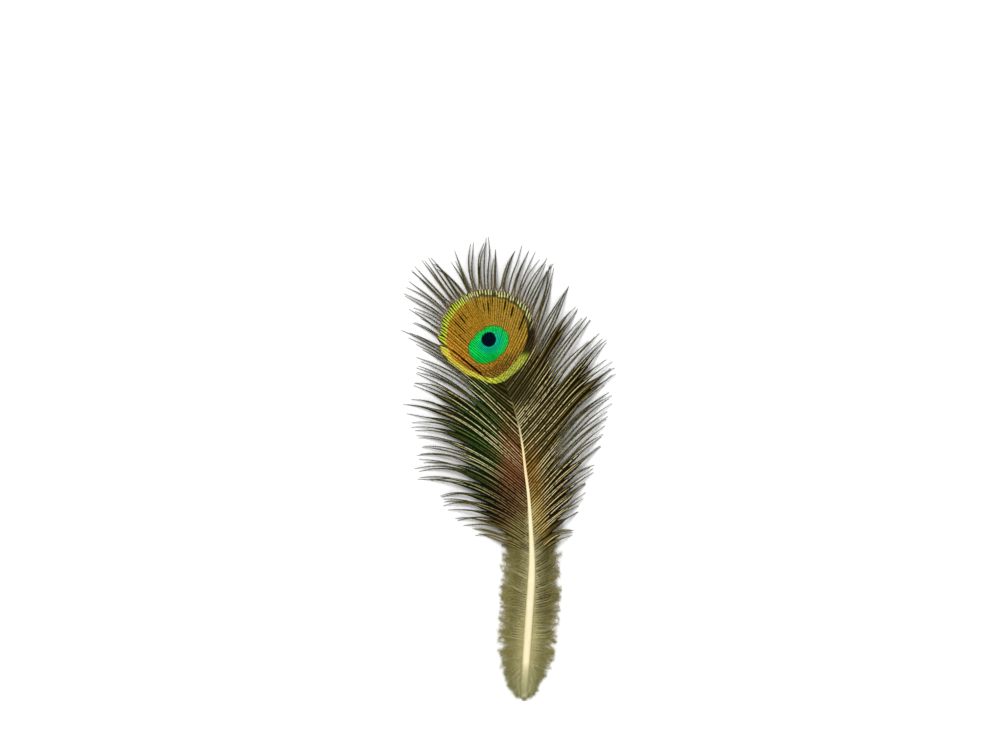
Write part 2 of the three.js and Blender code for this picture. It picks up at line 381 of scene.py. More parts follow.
def locks_of(side, y):
    """The middle station, the share where it parts and the stretch of each barb's lock."""
    edges, together, vary = [], [], []
    for low, high, locks, share, change in LOCK_ZONES:
        edges += list(low + (high - low) * np.arange(locks) / locks)
        together += [share] * locks
        vary += [change] * locks
    edges = np.array(edges + [BARBS_END])
    count = len(together)
    k = np.clip(np.searchsorted(edges, y, side="right") - 1, 0, count - 1)
    number = np.where(side > 0, k, 2 * count - k)
    number[np.abs(side) < 1] = count
    stretch = 1 + np.array(vary)[k] * (2 * chance(number + 0.5) - 1)
    level = np.searchsorted(LOCK_LEVELS, np.array(together)[k])
    shifts = [np.round(chance(number + step)) * 2 - 1 for step in (0, 1)]
    parted = LOCK_LEVELS[(level + np.maximum(*shifts)).astype(int)]
    middle = np.where(np.abs(side) < 1, BARBS_END, (edges[k] + edges[k + 1]) / 2)
    return middle, parted, stretch


def bundles(count, sizes):
    """Numbers a row of barbs so that each run of a random size has the same number."""
    runs = rng.choice(sizes, count)
    return np.repeat(np.arange(count), runs)[:count]


def stations(low, high, pitch):
    """Stations on the shaft, about a pitch apart."""
    count = round((high - low) / pitch)
    steps = np.arange(count) + rng.uniform(-UNEVEN, UNEVEN, count)
    return low + (high - low) * (steps + 0.5) / count


def unit(vectors):
    """The same ways, one long."""
    return vectors / np.linalg.norm(vectors, axis=-1, keepdims=True)


def fanned(side, low, high, pitch, share):
    """Stations whose barbs run a pitch apart at a share of their length."""
    fine = np.linspace(low, high, 400)
    pair = barb_paths(np.full(400, side), fine, np.array([share, share + 0.01]))[..., :2]
    ahead = unit(pair[:, 1] - pair[:, 0])
    step = np.diff(pair[:, 0], axis=0)
    apart_shade = np.abs(step[:, 0] * ahead[1:, 1] - step[:, 1] * ahead[1:, 0]).cumsum()
    count = round(apart_shade[-1] / pitch)
    steps = (np.arange(count) + 0.5 + rng.uniform(-UNEVEN, UNEVEN, count)) / count
    return np.interp(steps * apart_shade[-1], np.concatenate([[0], apart_shade]), fine)


vane_rows = [
    np.concatenate(
        [
            fanned(side, VANE_FROM, EYE_FROM, VANE_PITCH, share=0.3),
            fanned(side, EYE_FROM, BARBS_END, EYE_PITCH, share=at_rim),
        ]
    )
    for side, at_rim in ((1.0, 0.6), (-1.0, 0.5))
]
# The row runs up the left vane, over the tip's own barb and down the right vane.
barb_y = np.concatenate([vane_rows[0], [BARBS_END], vane_rows[1][::-1]])
barb_side = np.concatenate([np.ones(len(vane_rows[0])), [0.0], -np.ones(len(vane_rows[1]))])
barb_t = np.linspace(0, 1, LEVELS)
barb_count = len(barb_y)


def locked(side, y, t, own_stretch):
    """Barbs pulled together in their locks."""
    lock_y, parted, stretch = locks_of(side, y)
    stretch = stretch * own_stretch
    paths = barb_paths(side, y, t, stretch)
    lock = barb_paths(np.where(np.abs(side) < 1, 0, side), lock_y, t, stretch)
    closing = np.clip((t - parted[:, None]) / (1 - parted[:, None]), 0, 1) ** LOCK_TAPER
    return paths + (lock - paths) * (LOCK_PULL * closing)[:, :, None]


def curled(paths, side, y, t, least, most):
    """Barbs with their free ends bent outwards, by more millimetres in some locks than others."""
    _, aside, _ = frames(paths)
    lock_y, _, _ = locks_of(side, y)
    bend = least + (most - least) * chance(lock_y * 3.1 + side) + rng.uniform(-0.9, 0.9, len(y))
    free = np.clip((t - 0.55) / 0.45, 0, 1) ** 2
    return paths + aside * (side * bend)[:, None, None] * free[None, :, None]


def wandering(paths, t, bundle, pull, wander, fray):
    """Paths pulled together in bundles of a few, each with a sway and lift of its own."""
    count = len(paths)
    mean = np.zeros((bundle.max() + 1,) + paths.shape[1:])
    np.add.at(mean, bundle, paths)
    mean /= np.bincount(bundle, minlength=len(mean)).clip(1)[:, None, None]
    paths = paths + (mean[bundle] - paths) * pull[:, :, None]
    along_barb = unit(np.gradient(paths, axis=1))
    across = stack(-along_barb[..., 1], along_barb[..., 0], 0)
    waves = rng.uniform(0.6, 1.6, (2, count, 1))
    starts = rng.uniform(0, 2 * np.pi, (2, count, 1))
    sway = np.sin(2 * np.pi * waves[0] * t + starts[0]) - np.sin(starts[0])
    paths += across * (sway * wander * t**fray)[:, :, None]
    lift = np.sin(2 * np.pi * waves[1] * t + starts[1]) - np.sin(starts[1])
    paths[..., 2] += lift * wander * 0.5 * t**0.6
    paths[..., 2] = np.maximum(paths[..., 2], TABLE_GAP + CLEARANCE)
    return paths


def frames(paths):
    """Unit vectors along, to the left of and up from each point of the paths."""
    ahead = unit(np.gradient(paths, axis=1))
    aside = unit(stack(-ahead[..., 1], ahead[..., 0], 0))
    return ahead, aside, np.cross(ahead, aside)


# The eye's markings on the plan: outlines of the bronze disc, the green ring and the pupil. A
# yellow-green rim runs round the disc.
DISC = [(-10.2, 55.7), (-14.9, 52.6), (-17.5, 49.1), (-18.6, 45.6), (-18.9, 42.1), (-18.2, 39.2)]
DISC += [(-16.9, 36.7), (-13.7, 34.3), (-9.6, 32.0), (-5.6, 30.4), (-3.5, 29.9), (-1.5, 31.3)]
DISC += [(1.4, 33.4), (4.0, 36.3), (6.0, 39.8), (7.0, 42.7), (7.1, 46.5), (6.3, 49.7)]
DISC += [(4.6, 52.6), (1.7, 54.6), (-1.5, 55.7), (-5.0, 56.3), (-7.6, 56.3)]
GREEN = [(-3.5, 46.8), (-0.9, 46.2), (0.9, 44.2), (1.1, 42.1), (0.2, 39.8), (-2.1, 37.2)]
GREEN += [(-3.8, 35.6), (-6.2, 35.0), (-8.8, 35.4), (-11.1, 37.5), (-11.7, 39.2), (-11.3, 41.0)]
GREEN += [(-9.6, 43.3), (-7.3, 45.6), (-5.6, 46.6)]
PUPIL = [(-5.2 + 2.35 * math.sin(a), 42.6 + 2.45 * math.cos(a)) for a in np.linspace(0, 6.0, 12)]
DISC_MIDDLE, GREEN_MIDDLE, PUPIL_MIDDLE = (-6.2, 43.0), (-5.4, 40.8), (-5.2, 42.6)
RIM_WIDTH = 2.3


def beyond(outline, middle, plan):
    """How far, in millimetres, points of the plan lie outside an outline round its middle."""
    spokes = np.array(outline) - middle
    angles = np.arctan2(spokes[:, 1], spokes[:, 0])
    order = np.argsort(angles)
    angles, reach = angles[order], np.hypot(*spokes[order].T)
    fine = np.linspace(-np.pi, np.pi, 721)
    curve = np.interp(fine, angles, reach, period=2 * np.pi)
    kernel = np.hanning(19) / np.hanning(19).sum()
    curve = np.convolve(np.concatenate([curve[-10:-1], curve, curve[1:10]]), kernel, "valid")
    away = plan - np.array(middle)
    turn = np.arctan2(away[..., 1], away[..., 0])
    return np.hypot(away[..., 0], away[..., 1]) - np.interp(turn, fine, curve)


is_eye = barb_y > EYE_FROM
rough_paths = barb_paths(barb_side, barb_y, barb_t)
rim_rough = beyond(DISC, DISC_MIDDLE, rough_paths[..., :2]) - RIM_WIDTH
bundle = bundles(barb_count, [1, 1, 2, 2, 3])
pull_vane = 0.55 * smooth(0.1, 0.55, barb_t)
pull_eye = 0.5 * smooth(0.2, 3.0, rim_rough)
pull = np.where(is_eye[:, None], pull_eye, pull_vane * smooth(-1.5, 2.0, rim_rough))
own = 1 + rng.uniform(-0.035, 0.03, barb_count) - 0.16 * rng.uniform(0, 1, barb_count) ** 4
wander = np.where(is_eye, 0.26, 0.3)[:, None] * smooth(-2, 7, rim_rough)
barbs = locked(barb_side, barb_y, barb_t, own)
curl_most = 1.6 + 3.6 * smooth(16, 34, barb_y)
barbs = curled(barbs, barb_side, barb_y, barb_t, least=-0.4, most=curl_most)
barbs = wandering(barbs, barb_t, bundle, pull, wander, fray=1.2)
ahead, aside, _ = frames(barbs)

# Where two neighbours have come apart inside the eye, with painted shade in the gap: each slit's
# outer and inner end, x and y of the plan.
SLITS = [(-17.6, 48.6, -11.4, 43.9), (-17.5, 45.3, -10.5, 41.2), (-9.6, 55.4, -8.3, 52.3)]
SLITS += [(-7.3, 55.2, -6.4, 51.0), (-3.8, 56.2, -3.7, 53.6), (-0.3, 55.6, 0.1, 51.8)]
SLITS += [(5.5, 52.8, 4.9, 43.9), (-13.7, 34.0, -4.7, 30.5), (-12.6, 53.6, -10.6, 50.2)]
SLITS += [(2.6, 54.0, 2.0, 50.0), (-15.4, 51.0, -12.2, 47.6), (-13.5, 34.7, -4.5, 31.2)]
SLITS += [(-16.6, 38.4, -9.5, 34.0), (-14.2, 52.0, -11.0, 48.6), (-5.6, 55.9, -5.2, 50.4)]
LEAST_GAP = 0.05
gap = np.einsum("kmd,kmd->km", barbs[:-1] - barbs[1:], (aside[:-1] + aside[1:]) / 2)
gap = np.maximum(gap, LEAST_GAP)
slit = np.zeros_like(gap)
between = (barbs[:-1, :, :2] + barbs[1:, :, :2]) / 2
for outer_end, inner_end in np.array(SLITS).reshape(-1, 2, 2):
    centre = (outer_end + inner_end) / 2
    k = np.argmin(np.hypot(*(between - centre).transpose(2, 0, 1)).min(axis=1))
    ends = [np.argmin(np.hypot(*(between[k] - end).T)) for end in (inner_end, outer_end)]
    low, high = barb_t[min(ends)], barb_t[max(ends)]
    fade = 0.25 * (high - low)
    opened = smooth(low, low + fade, barb_t) * smooth(high, high - fade, barb_t)
    slit[k] = np.maximum(slit[k], opened)

# Elsewhere neighbours part a little here and there, which leaves fine lines of painted shade.
lines = rng.uniform(0, 1, len(gap))[:, None] ** 2
starts, waves = rng.uniform(0, 2 * np.pi, (len(gap), 1)), rng.uniform(1.5, 3.5, (len(gap), 1))
lines = lines * (0.55 + 0.45 * np.sin(2 * np.pi * waves * barb_t + starts))
slit = np.maximum(slit, 0.1 + 0.5 * lines)

# Half the room to each neighbour. The outermost barbs have the same room on their free side.
room_left = np.concatenate([gap[:1], gap]) / 2
room_right = np.concatenate([gap, gap[-1:]]) / 2
slit_left = np.concatenate([0 * slit[:1], slit])
slit_right = np.concatenate([slit, 0 * slit[-1:]])

_, lock_parts, _ = locks_of(barb_side, barb_y)
hold_share = (lock_parts + rng.uniform(-0.12, 0.05, barb_count))[:, None]
knit_vane = smooth(hold_share + 0.1, hold_share - 0.14, barb_t)
rim_at = beyond(DISC, DISC_MIDDLE, barbs[..., :2]) - RIM_WIDTH
rim_own = rng.normal(0, 0.3, (barb_count, 1))
knit_eye = smooth(0.9, -0.6, rim_at + rim_own)
knit_low = np.where(is_eye[:, None], smooth(0.55, 0.3, barb_t), knit_vane)
knit = np.maximum(knit_low * 0.92, knit_eye)
WEB_REACH = 0.95
LOOSE_REACH = 0.24
TIP_REACH = 0.05


def web(room):
    """How far a barb's web reaches: to its neighbour where they hold together."""
    knitted = np.minimum(room * 1.12, WEB_REACH)
    reach = LOOSE_REACH + (knitted - LOOSE_REACH) * knit
    return TIP_REACH + (reach - TIP_REACH) * smooth(1.0, 0.72, barb_t)


web_left, web_right = web(room_left), web(room_right)

RIB_FOOT = 0.15
RIB_HEIGHT = 0.13
KEEL = 0.12
SLIT_DIP = 0.22


def mesh_piece(name, points, faces, facts, chart):
    """An object of these points and faces. facts are the points' attributes. chart is where each
    corner of a face goes on its OFBake map."""
    mesh = bpy.data.meshes.new(name)
    mesh.from_pydata(to_frame(points.reshape(-1, 3)).tolist(), [], faces)
    for attribute, values in facts.items():
        values = np.broadcast_to(values, points.shape).astype(np.float32)
        layer = mesh.attributes.new(attribute, "FLOAT_VECTOR", "POINT")
        layer.data.foreach_set("vector", values.ravel())
    mesh.uv_layers.new(name="OFBake").data.foreach_set("uv", chart.ravel())
    piece = bpy.data.objects.new(name, mesh)
    bpy.context.scene.collection.objects.link(piece)
    return piece


def strip_mesh(name, paths, sections, facts):
    """Closed strips of flat facets along the paths. sections gives, for each corner of the
    section in turn, how far it is to the left and up; facts are the corners' attributes."""
    _, aside, upright = frames(paths)
    left, up = (stack(*part)[..., None] for part in zip(*sections))
    points = paths[:, :, None] + aside[:, :, None] * left + upright[:, :, None] * up
    points[..., 2] = np.maximum(points[..., 2], TABLE_GAP)
    rows, levels, corners, _ = points.shape
    number = np.arange(rows * levels * corners).reshape(rows, levels, corners)
    onward = np.roll(number, -1, axis=2)
    sides = stack(number[:, :-1], onward[:, :-1], onward[:, 1:], number[:, 1:])
    ends = np.concatenate([number[:, 0, ::-1], number[:, -1]])
    # Each strip has a row of its own on the map, and the ends share one small corner of it.
    u = np.linspace(0.002, 0.998, levels)
    v = (np.arange(rows)[:, None] + (np.arange(corners + 1)[None] + 0.5) / (corners + 2)) / rows
    start, end = u[None, :-1, None], u[None, 1:, None]
    lower, upper = v[:, None, :-1], v[:, None, 1:]
    chart = stack(start, lower, start, upper, end, upper, end, lower).reshape(-1, 2)
    turn = np.linspace(0, 2 * np.pi, corners, endpoint=False)
    cap = (0.5 + 0.4 * stack(np.cos(turn), np.sin(turn))) * 0.001
    chart = np.concatenate([chart, np.tile(cap, (2 * rows, 1))])
    faces = sides.reshape(-1, 4).tolist() + ends.tolist()
    return mesh_piece(name, points, faces, facts, chart)


def smooth_piece(piece, degrees):
    """Rounds the piece's shading over edges less sharp than this."""
    bpy.ops.object.select_all(action="DESELECT")
    piece.select_set(True)
    bpy.context.view_layer.objects.active = piece
    bpy.ops.object.shade_smooth_by_angle(angle=math.radians(degrees))


def barb_sections(rows):
    """The corners of each barb's section: web, rib and keel. Webs dip where neighbours part."""
    reach = (web_left[rows], web_right[rows])
    feet = [np.minimum(RIB_FOOT, w * 0.5) for w in reach]
    thin = np.minimum(1, (reach[0] + reach[1]) / 0.4)
    dips = slit_left[rows] * SLIT_DIP, slit_right[rows] * SLIT_DIP
    return [
        (reach[0], -0.05 - 0.12 * reach[0] - dips[0]),
        (feet[0], 0.0),
        (0.0, RIB_HEIGHT * thin),
        (-feet[1], 0.0),
        (-reach[1], -0.12 - 0.16 * reach[1] - dips[1]),
        (0.0, -KEEL * thin),
    ]


def distances_of(paths):
    """How far along its path each point of the paths is."""
    steps = np.linalg.norm(np.diff(paths, axis=1), axis=2).cumsum(axis=1)
    return np.concatenate([np.zeros((len(paths), 1)), steps], axis=1)


distances = distances_of(barbs)
# A barb's own number is from 0 to 1 on the left vane and from 1 to 2 on the right one.
own_numbers = rng.uniform(0, 0.99, barb_count) + (barb_side < 0)
ragged = rng.normal(0, 0.12, barb_count)


def markings(plan):
    """How far points of the plan are outside the rim, the green ring and the pupil."""
    outlines = (DISC, DISC_MIDDLE), (GREEN, GREEN_MIDDLE), (PUPIL, PUPIL_MIDDLE)
    away = stack(*(beyond(outline, middle, plan) for outline, middle in outlines))
    return away - [RIM_WIDTH, 0, 0]


# painted shade: a slit that has opened this far spreads its dark over more of the web
SLIT_SHOWS = 0.75  # a slit that has opened this far darkens more of the web


def barb_facts(rows, sections):
    """The attributes that the finish reads, for some of the barbs."""
    across = stack(*(left for left, _ in sections))
    shift = ahead[rows] * ragged[rows][:, None, None]
    plan = (barbs[rows] + shift)[..., None, :2] + aside[rows][..., None, :2] * across[..., None]
    plan = plan - ahead[rows][..., None, :2] * np.abs(across)[..., None] * 0.35
    parted = np.zeros(across.shape)
    for outer, inner, opened in ((0, 1, slit_left[rows]), (4, 3, slit_right[rows])):
        parted[..., outer], parted[..., inner] = opened, 0.5 * (opened > SLIT_SHOWS)
    edge = np.array([1, 0.3, 0, 0.3, 1, 0.5])
    return {
        "barb": stack(across, distances[rows][..., None], own_numbers[rows][:, None, None]),
        "marks": markings(plan),
        "state": stack(parted, knit[rows][..., None], edge),
    }


# The finish of the vanes. Ribs are pale horn, broken into dashes of painted highlight. Webs are
# bronze, green and blue-black in the eye, yellow-green at its rim, and olive, brown and dark green
# below and beyond it, with painted shade along their edges where neighbours meet or part.
vane = Finish("vane barbs")


def parts_of(finish, name):
    """The three parts of a vector attribute of the mesh."""
    vector = finish.node("Attribute", {"attribute_name": name}, None, "Vector")
    split = finish.node("SeparateXYZ", None, {0: vector})
    return [split.part(axis) for axis in "XYZ"]


from_rib, distance, own_number = parts_of(vane, "barb")
rim, green, pupil = parts_of(vane, "marks")
parted, held, edge = parts_of(vane, "state")
across = abs(from_rib)
own_share = own_number.fract()
other_share = (own_share * 7).fract()
is_left = own_number.math("LESS_THAN", own_number, 1.0)
is_right = 1 - is_left
plan_x, plan_y = plan_of(vane)
strand = vane.node("CombineXYZ", None, {0: from_rib * 3, 1: distance, 2: own_number * 90})
grain = vane.noise(strand, 2.2, 3.0)
glint_flecks = vane.noise(strand, 0.9, 2.0)
spread = vane.node("CombineXYZ", None, {0: plan_x, 1: plan_y, 2: own_number * 3})
patches = vane.noise(spread, 0.22, 2.0)
slant = vane.node("CombineXYZ", None, {0: distance - across * 0.9})
barbules = vane.node(
    "TexWave",
    {"wave_type": "BANDS", "bands_direction": "X"},
    {"Vector": slant, "Scale": 2.6, "Distortion": 1.2},
)

# Outside the eye: dark webs with pale ribs, some ribs much paler than others. The webs are red
# brown by the shaft, dark green further out on the left, and golden low down on the right.
BROWN, UPPER_OLIVE, LEFT_OLIVE = rgb(100, 70, 18), rgb(56, 52, 20), rgb(48, 44, 10)
RUST, MOSS, INK_GREEN = rgb(108, 46, 16), rgb(14, 52, 16), rgb(20, 26, 9)
FAR_RIGHT, FAR_LEFT = rgb(50, 44, 15), rgb(50, 48, 12)
UMBER, RED_UMBER = rgb(46, 33, 9), rgb(48, 25, 9)
STRAW, GOLD, WEB_EDGE_SHADE = rgb(172, 144, 66), rgb(120, 84, 22), rgb(10, 7, 0)
DOWNY, DOWNY_DARK = rgb(112, 102, 52), rgb(104, 94, 44)
near_shaft = is_left * distance.rise(18, 6) + is_right * distance.rise(11, 3)
red_side = is_left * (plan_y + 14 * patches).rise(28, 10) * distance.rise(20, 13)
green_side = is_left * distance.rise(7, 14) * distance.rise(34, 20)
green_side = green_side * (1 - 0.8 * plan_y.rise(5, -2) * distance.rise(17, 10))
low_left = is_left * plan_y.rise(8, -6)
downy_left = is_left * plan_y.rise(-12, -19) * distance.rise(12, 6)
golden = is_right * distance.rise(9, 3) * plan_y.rise(9, -1)
pale_low = plan_y.rise(-4, -11) * distance.rise(8, 2)
shaft_brown = vane.coats(
    BROWN,
    (UPPER_OLIVE, plan_y.rise(2, 16)),
    (LEFT_OLIVE, is_left),
    (RUST, red_side * (0.7 + 0.3 * other_share)),
)
low_web = vane.coats(
    UMBER,
    (INK_GREEN, is_left * distance.rise(5, 12)),
    (RED_UMBER, is_left * distance.rise(15, 8)),
)
web_colour = vane.coats(
    FAR_RIGHT,
    (FAR_LEFT, is_left),
    (shaft_brown, near_shaft),
    (MOSS, green_side * patches.rise(0.25, 0.5)),
    (low_web, plan_y.rise(2, -9)),
    (STRAW, pale_low * (0.85 - 0.7 * is_left)),
    (GOLD, golden * (1 - pale_low) * 0.8),
    (DOWNY, downy_left * 0.8),
    (DOWNY_DARK, plan_y.rise(-12, -25) * 0.8),
    # painted shade between neighbouring barbs, darker towards each web's edges
    (WEB_EDGE_SHADE, edge.rise(0.4, 0.75) * 0.8),
)
RIB_RIGHT, RIB_LEFT, RIB_PALE = rgb(138, 118, 62), rgb(120, 128, 66), rgb(250, 232, 172)
RIB_DARK, RIB_RED, RIB_BROWN = rgb(78, 66, 22), rgb(186, 140, 98), rgb(128, 94, 60)
RIB_GOLD, RIB_STRAW, RIB_DOWNY = rgb(190, 148, 68), rgb(224, 202, 134), rgb(166, 158, 102)
rib_colour = vane.coats(
    RIB_RIGHT,
    (RIB_LEFT, is_left),
    (RIB_PALE, own_share.rise(0.4, 0.75) * (1 - 0.55 * low_left)),
    (RIB_DARK, own_share.rise(0.36, 0.14) * 0.85),
    (RIB_RED, red_side * near_shaft * 0.6),
    (RIB_BROWN, low_left * distance.rise(20, 12) * 0.7),
    (RIB_GOLD, golden * 0.75),
    (RIB_STRAW, pale_low * own_share.rise(0.1, 0.5) * (1 - 0.65 * is_left)),
    (RIB_DOWNY, downy_left * 0.8),
)
rib = edge.rise(0.3, 0.12)
crowded = plan_y.rise(19, 25) * distance.rise(15, 6)
# The ribs are pale horn; the flecks break them into dashes of painted highlight where light catches
# them.
rib_shows = rib * glint_flecks.rise(0.3, 0.5) * distance.rise(44, 26) * (1 - 0.75 * crowded)

# The loose ends are dark olive brown. Just beyond the rim there is a faint mauve.
LOOSE, LOOSE_DARK, LOOSE_TIP = rgb(76, 70, 32), rgb(48, 46, 20), rgb(64, 64, 40)
LOOSE_RIB, LOOSE_DOWNY = rgb(150, 140, 88), rgb(120, 111, 62)
loose = vane.coats(
    LOOSE,
    (LOOSE_DARK, patches.rise(0.35, 0.65)),
    (LOOSE_TIP, distance.rise(24, 34) * 0.7),
    # painted highlight in dashes along the loose ribs, over their pale horn
    (LOOSE_RIB, rib * glint_flecks.rise(0.45, 0.7) * 0.75),
    (LOOSE_DOWNY, plan_y.rise(-10, -23) * 0.85),
)
mauve = vane.mix(rgb(92, 72, 40), rgb(142, 112, 80), grain.rise(0.4, 0.6))
near_rim = rim.rise(3.4, 0.8) * rim.rise(-0.4, 0.2)
outside = vane.coats(
    web_colour,
    (rib_colour, rib_shows),
    (loose, held.rise(0.6, 0.1) * 0.85),
    (mauve, near_rim * plan_y.rise(36, 46) * 0.5),
)

# The bronze disc turns from orange at its lower left to olive gold at its top.
BRONZE, ORANGE, OLIVE_GOLD = rgb(222, 170, 36), rgb(255, 166, 38), rgb(196, 164, 56)
LOW_BRONZE, LOW_BAND, SPARKLE = rgb(88, 68, 16), rgb(108, 66, 16), rgb(246, 204, 92)
BROWN_GRAIN, RIB_BRONZE, SEAM_SHADE = rgb(124, 76, 4), rgb(110, 70, 12), rgb(36, 15, 0)
to_orange = (plan_x * -0.62 + plan_y * -0.78 + 27.5) / 12
low_side = (plan_x * 0.55 + plan_y * -0.83 + 27.5).rise(-4.6, -1.0)
low_band = (rim + 6.5).rise(0, 2.5) * plan_y.rise(36.5, 33.5)
# Painted shade in the valleys between neighbouring barbs: dark seams along each web's edges.
seam_shade = edge.rise(0.38, 0.64)
bronze = vane.coats(
    BRONZE,
    (ORANGE, to_orange.rise(-0.1, 0.9)),
    (OLIVE_GOLD, to_orange.rise(-0.3, -1.1)),
    (LOW_BRONZE, low_side),
    (LOW_BAND, low_band * 0.75),
    (SPARKLE, grain.rise(0.5, 0.6) * 0.75),
    (BROWN_GRAIN, grain.rise(0.5, 0.4) * 0.8),
    (RIB_BRONZE, (rib + other_share * 0.6) * 0.25),
    (SEAM_SHADE, seam_shade * (0.56 + 0.42 * own_share)),
)

# The green ring, its teal side and the pupil.
RING, RING_RIGHT, RING_LIGHT = rgb(4, 236, 88), rgb(12, 214, 88), rgb(60, 255, 132)
RING_DARK, RING_LOW, RING_SEAM_SHADE = rgb(2, 162, 50), rgb(6, 190, 70), rgb(0, 84, 36)
TEAL, TEAL_SEAM_SHADE, AQUA = rgb(6, 190, 164), rgb(0, 120, 110), rgb(60, 246, 190)
teal_side = pupil.rise(3.4, 0.3) * (plan_x * 0.5 + plan_y * -0.86 + 39.4).rise(-2.5, 1.8)
ring = vane.coats(
    RING,
    (RING_RIGHT, (plan_x + 5).rise(-3, 4)),
    (RING_LIGHT, grain.rise(0.5, 0.62) * 0.6),
    (RING_DARK, grain.rise(0.5, 0.38) * 0.7),
    (RING_LOW, plan_y.rise(39, 36) * 0.7),
    # painted shade in the valleys between barbs, in the ring and its teal side
    (RING_SEAM_SHADE, seam_shade * (0.4 + 0.4 * own_share)),
    (vane.mix(TEAL, TEAL_SEAM_SHADE, seam_shade), teal_side * 0.85),
    (AQUA, pupil.rise(0.8, 0.2) * grain.rise(0.5, 0.57) * 0.8),
)
night = vane.mix(rgb(3, 22, 38), rgb(12, 44, 66), grain.rise(0.5, 0.7))

# The rim is yellow at its lower left, yellow-green elsewhere, and weak on its right. Its teeth
# stand apart at the top and on the left, with painted shade along each barb's web edges and, at the
# top, between the teeth and the disc.
RIM, RIM_YELLOW, RIM_CREAM = rgb(204, 228, 44), rgb(232, 208, 58), rgb(232, 228, 164)
RIM_OLIVE, RIM_LIGHT, RIM_DARK = rgb(150, 162, 44), rgb(255, 252, 128), rgb(116, 112, 16)
RIM_GAP_SHADE, RIM_FOOT_SHADE, RIM_BARB = rgb(26, 28, 2), rgb(56, 44, 14), rgb(58, 52, 26)
RIM_WEAK = rgb(30, 17, 1)
toothed = plan_y.rise(38.5, 41.5)
outward = (rim + RIM_WIDTH) / RIM_WIDTH
tooth_gap_shade = (edge + outward * toothed * 0.25).rise(0.46, 0.7)
top_side = to_orange.rise(-0.55, -0.9)
apart_shade = top_side * (rim + 0.7 * other_share).rise(-0.9, -1.3)
weak = (plan_x - 3).rise(0, 3) * plan_y.rise(50, 45) * plan_y.rise(36, 39)
rim_colour = vane.coats(
    RIM,
    (RIM_YELLOW, to_orange.rise(0.5, 0.85)),
    (RIM_CREAM, to_orange.rise(-0.45, -0.9)),
    (RIM_OLIVE, (plan_x + 4).rise(0, 4) * plan_y.rise(42, 34)),
    (RIM_LIGHT, grain.rise(0.5, 0.62) * 0.7),
    (RIM_DARK, grain.rise(0.5, 0.36) * 0.75),
    # painted shade in the gaps between the rim's teeth
    (RIM_GAP_SHADE, tooth_gap_shade * (0.55 + 0.43 * toothed)),
    # painted shade in the gap between the teeth and the disc, at the top
    (RIM_FOOT_SHADE, apart_shade * 0.85),
    (RIM_BARB, top_side * own_share.rise(0.35, 0.1) * 0.8),
    (RIM_WEAK, weak * 0.95),
)
narrowed = 0.9 * plan_y.rise(39.5, 36) * (plan_x + 3).rise(3, -2)
rim_end = rim + narrowed + (own_share - 0.55) * (0.3 + 0.6 * toothed)

disc = rim.rise(-RIM_WIDTH + 0.2, -RIM_WIDTH - 0.2)
RING_BRINK, SLIT_SHADE = rgb(58, 92, 18), rgb(20, 8, 1)
colour = vane.coats(
    outside,
    (rim_colour, rim_end.rise(0.15, -0.15)),
    (bronze, disc),
    (RING_BRINK, disc * green.rise(0.45, 0.1) * 0.8),
    (ring, green.rise(0.1, -0.15)),
    (night, pupil.rise(0.12, -0.12)),
    # painted shade in the slits and fine partings between barbs, outside the pupil
    (SLIT_SHADE, parted.rise(0.12, 0.7) * 0.95 * pupil.rise(0, 0.4)),
)
roughness = 0.62 - disc * 0.2 + 0.1 * grain
relief = barbules * 0.5 + grain
vane_material = vane.surface(
    colour, roughness, relief, depth=0.00004, Metallic=disc * 0.3, Specular_IOR_Level=0.04
)

for name, chosen in (("vane_barbs", ~is_eye), ("eye_barbs", is_eye)):
    rows = np.flatnonzero(chosen)
    sections = barb_sections(rows)
    piece = strip_mesh(name, barbs[rows], sections, barb_facts(rows, sections))
    smooth_piece(piece, 35)
    stand_for_feather(piece, vane_material)

# The loose barbules: past the held webs each barb still carries fine bristles on both sides,
# that point outwards and forwards. Each is a slim solid spike.


def spikes(paths, length, step, turn, spread, base, rise, keep=None):
    """Spikes along both sides of the paths. length is their length at each point of a path, turn
    their mean angle from it, spread how far that varies and rise how much they may point up.
    Gives the spikes' points, and for each its path, its place on it from 0 to 1 and its side."""
    ahead, aside, upright = frames(paths)
    reach = distances_of(paths)
    path_of, level_of = [], []
    levels = np.arange(paths.shape[1])
    for k, row in enumerate(reach):
        places = np.arange(step * rng.uniform(0.2, 1), row[-1], step)
        path_of.append(np.full(len(places), k))
        level_of.append(np.interp(places, row, levels))
    path_of, level_of = np.concatenate(path_of), np.concatenate(level_of)
    if keep is not None:
        share = keep[path_of, level_of.astype(int)]
        kept = rng.uniform(0, 1, len(share)) < share
        path_of, level_of = path_of[kept], level_of[kept]
    path_of, level_of = np.tile(path_of, 2), np.tile(level_of, 2)
    side = np.repeat([1.0, -1.0], len(path_of) // 2)
    low = np.minimum(level_of.astype(int), paths.shape[1] - 2)
    share = (level_of - low)[:, None]

    def read(values):
        return values[path_of, low] * (1 - share) + values[path_of, low + 1] * share

    at, forward, sideways, up = read(paths), read(ahead), read(aside), read(upright)
    angle = np.radians(turn + rng.normal(0, spread, len(side)))
    reach = read(length[..., None])[:, 0] * rng.uniform(0.7, 1.15, len(side))
    away = forward * np.cos(angle)[:, None] + sideways * (side * np.sin(angle))[:, None]
    away += up * rng.uniform(-rise, rise, len(side))[:, None]
    half = forward * (base / 2)
    root = at + sideways * (side * 0.03)[:, None]
    corners = [root - half, root + half, root - up * base * 0.5, root + away * reach[:, None]]
    points = np.stack(corners, axis=1)
    flipped = side < 0
    points[flipped] = points[flipped][:, [1, 0, 2, 3]]
    points[..., 2] = np.maximum(points[..., 2], TABLE_GAP)
    return points, path_of, level_of / (paths.shape[1] - 1), side


